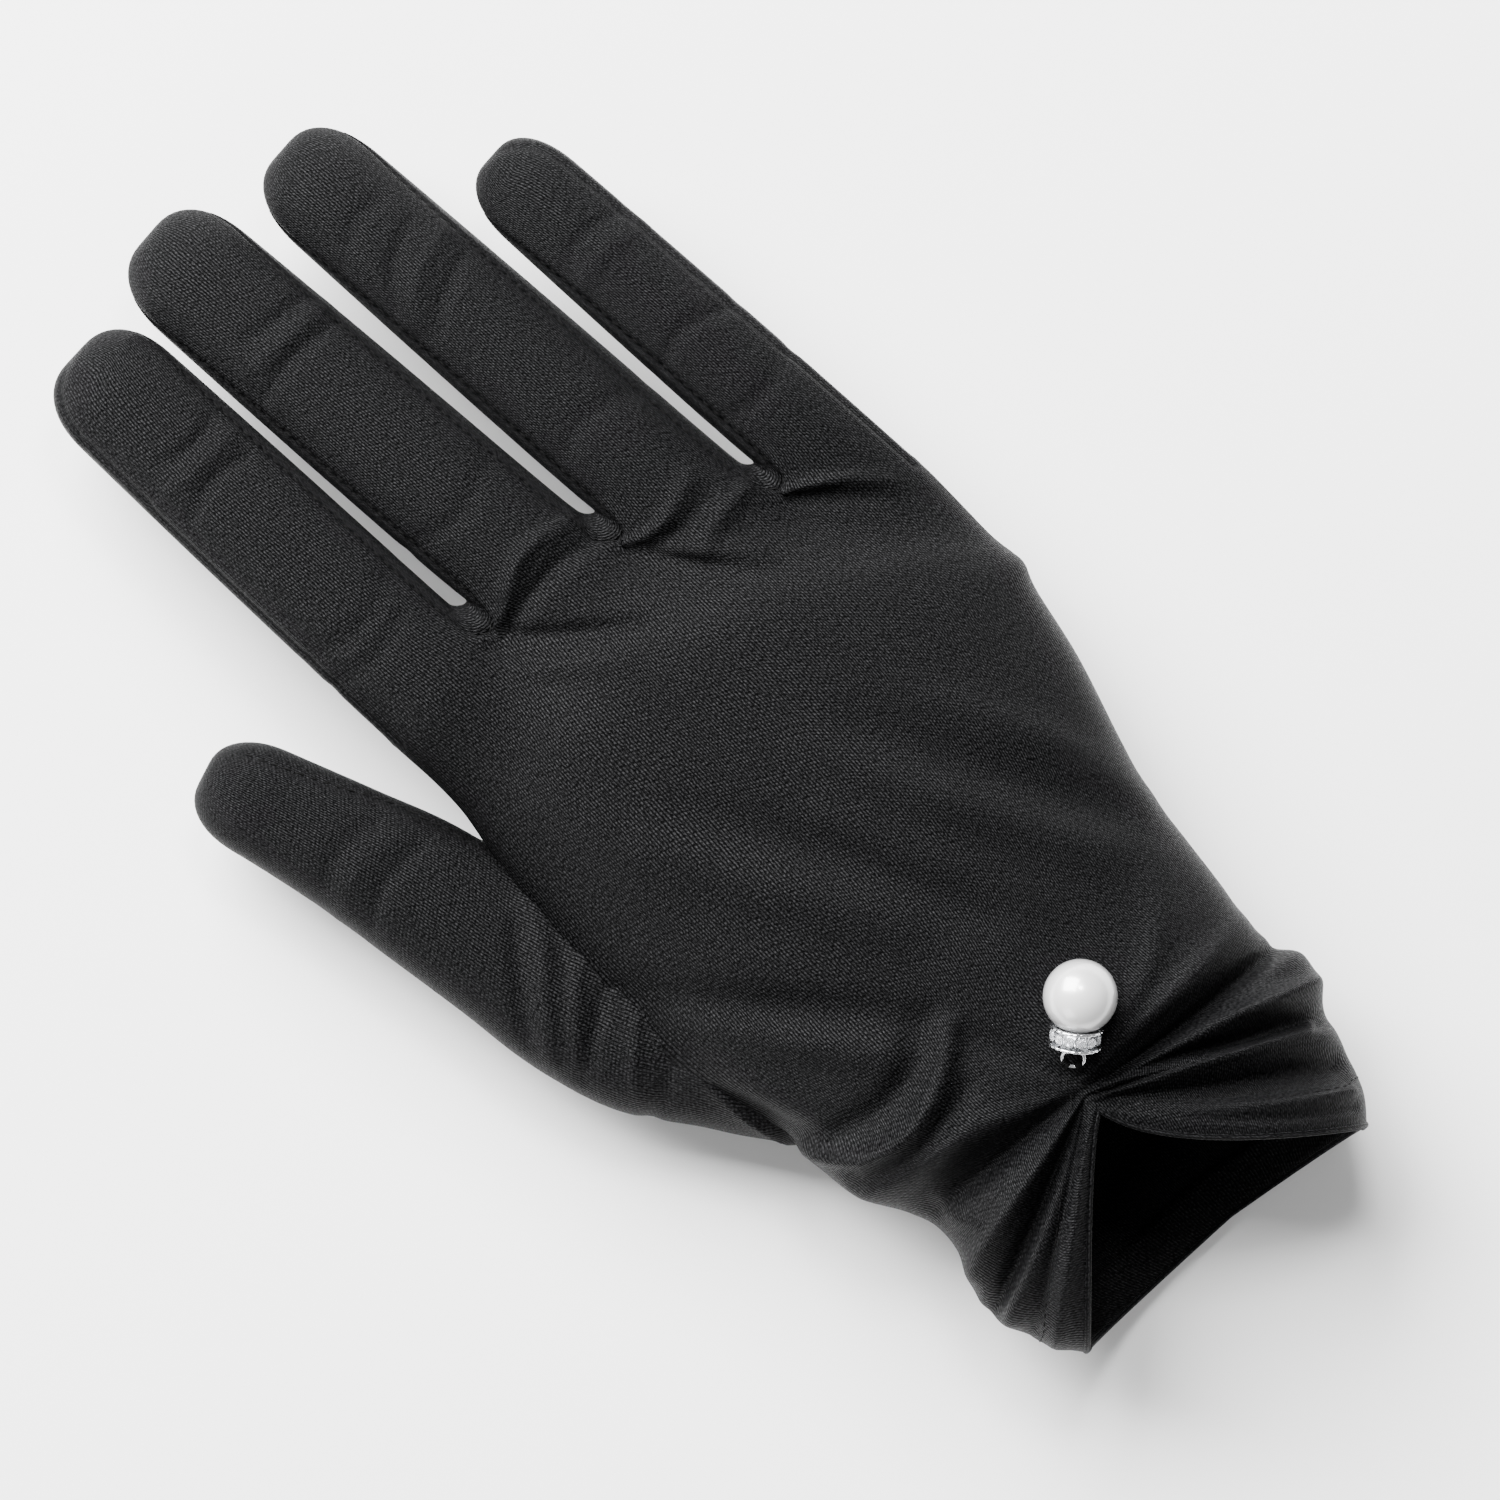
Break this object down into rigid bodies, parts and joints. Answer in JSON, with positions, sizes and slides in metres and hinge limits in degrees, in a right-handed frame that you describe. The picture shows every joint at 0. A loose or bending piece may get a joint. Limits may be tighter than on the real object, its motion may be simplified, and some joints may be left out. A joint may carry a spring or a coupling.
{
  "type": "wrist length dress glove",
  "caption": "Wrist length dress glove in black stretch satin for the right hand, hem gathered at the centre back under a pearl charm with a rhinestone ring.",
  "frame": {"origin": "middle of the wrist opening, level with the point where the hem is gathered on the back", "axes": "+Y from the wrist to the fingertips, +Z out of the back of the hand, +X to the little finger"},
  "size_m": [0.1233, 0.2393, 0.055],
  "materials": {
    "satin": "black stretch satin knit, fine ribs along the hand, soft sheen",
    "thread": "black sewing thread",
    "pearl": "white pearl lacquer",
    "metal": "polished silver plate",
    "crystal": "clear cut glass"
  },
  "bodies": {
    "root": {"back_panel": "satin", "palm_panel": "satin", "index_middle_fourchette": "satin", "middle_ring_fourchette": "satin", "ring_little_fourchette": "satin", "thumb_piece": "satin", "sewing_thread": "thread", "pearl_bead": "pearl", "rondelle": "metal", "eye_pin": "metal", "stone_01": "crystal", "stone_02": "crystal", "stone_03": "crystal", "stone_04": "crystal", "stone_05": "crystal", "stone_06": "crystal", "stone_07": "crystal", "stone_08": "crystal", "stone_09": "crystal", "stone_10": "crystal", "stone_11": "crystal", "stone_12": "crystal"}
  },
  "joints": []
}
